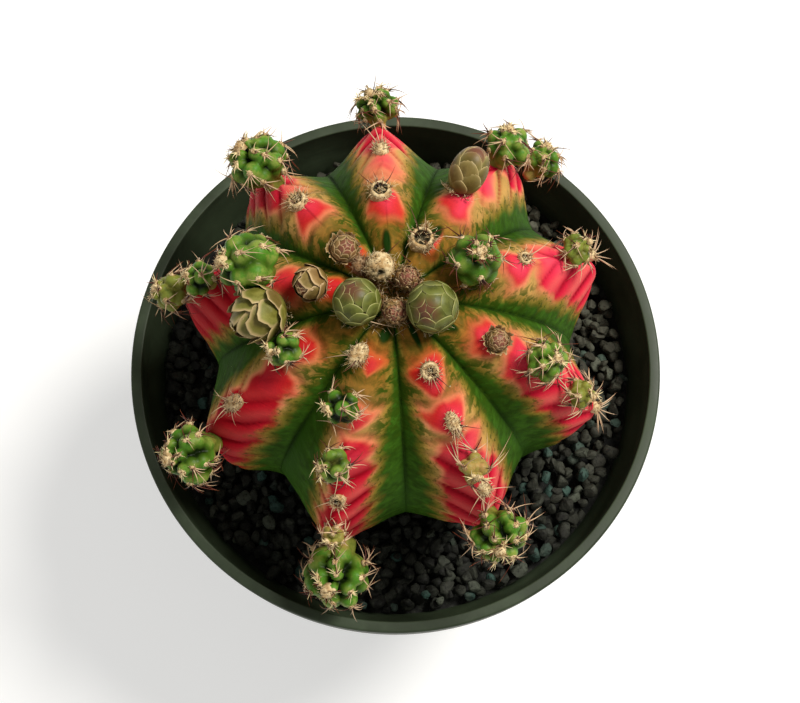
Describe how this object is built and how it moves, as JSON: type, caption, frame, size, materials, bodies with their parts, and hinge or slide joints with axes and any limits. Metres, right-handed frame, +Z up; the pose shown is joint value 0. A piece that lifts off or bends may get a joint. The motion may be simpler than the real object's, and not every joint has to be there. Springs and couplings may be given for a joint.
{
  "type": "potted moon cactus",
  "caption": "Round nursery pot holding a ribbed, flattened globe cactus in pink, orange and green, with offsets, flower buds and spined areoles on its ribs, in gravel-topped mix.",
  "frame": {"origin": "centre of the pot's flat underside, at the middle of the pot's axis", "axes": "+Z up along the pot's axis, which is the longest extent; -Y towards the viewer of the picture, +X to the viewer's right"},
  "size_m": [0.12, 0.12, 0.1484],
  "materials": {
    "pot_plastic": "moulded dark grey-green polypropylene, semi-matte",
    "potting_mix": "damp gritty cactus mix, matte",
    "gravel": "dark crushed stone, matte",
    "stem_flesh": "living skin, satin, pink ridges to green valleys; leather stands in for plant tissue",
    "offset_flesh": "living skin, satin, bright green; leather stands in for plant tissue",
    "bud_scales": "overlapping scales, satin, olive with pale edges; leather stands in for plant tissue",
    "wool_and_spines": "cream wool with straw and brown spines, matte",
    "root_bark": "corky root skin, matte"
  },
  "bodies": {
    "root": {"pot": "pot_plastic", "potting_mix": "potting_mix", "gravel_dressing": "gravel", "roots": "root_bark", "cactus_stem": "stem_flesh", "offset_rib1_crown": "offset_flesh", "offset_rib1_outer": "offset_flesh", "offset_rib2_middle": "offset_flesh", "offset_rib2_tip": "offset_flesh", "offset_rib3_tip": "offset_flesh", "offset_rib4_tip": "offset_flesh", "offset_rib5_crown": "offset_flesh", "offset_rib5_middle": "offset_flesh", "offset_rib5_tip": "offset_flesh", "offset_rib6_crown": "offset_flesh", "offset_rib6_tip": "offset_flesh", "offset_rib7_crown": "offset_flesh", "offset_rib7_middle": "offset_flesh", "offset_rib7_outer": "offset_flesh", "offset_rib7_tip": "offset_flesh", "offset_rib8_middle": "offset_flesh", "offset_rib8_tip": "offset_flesh", "offset_rib9_middle": "offset_flesh", "offset_rib9_outer": "offset_flesh", "bud_crown_left": "bud_scales", "bud_crown_right": "bud_scales", "bud_crown_small_back": "bud_scales", "bud_crown_small_front": "bud_scales", "bud_crown_woolly": "bud_scales", "bud_rib2": "bud_scales", "bud_rib4": "bud_scales", "bud_rib5_small": "bud_scales", "bud_rib5_open": "bud_scales", "bud_rib9": "bud_scales", "areole_rib1_1": "wool_and_spines", "areole_rib1_2": "wool_and_spines", "areole_rib1_3": "wool_and_spines", "areole_rib2_1": "wool_and_spines", "areole_rib2_2": "wool_and_spines", "areole_rib3_1": "wool_and_spines", "areole_rib3_2": "wool_and_spines", "areole_rib3_3": "wool_and_spines", "areole_rib4_1": "wool_and_spines", "areole_rib4_2": "wool_and_spines", "areole_rib5_1": "wool_and_spines", "areole_rib6_1": "wool_and_spines", "areole_rib6_2": "wool_and_spines", "areole_rib7_1": "wool_and_spines", "areole_rib7_2": "wool_and_spines", "areole_rib7_3": "wool_and_spines", "areole_rib8_1": "wool_and_spines", "areole_rib8_2": "wool_and_spines", "areole_rib8_3": "wool_and_spines", "areole_rib8_4": "wool_and_spines", "areole_rib9_1": "wool_and_spines", "areole_rib9_2": "wool_and_spines"}
  },
  "joints": []
}
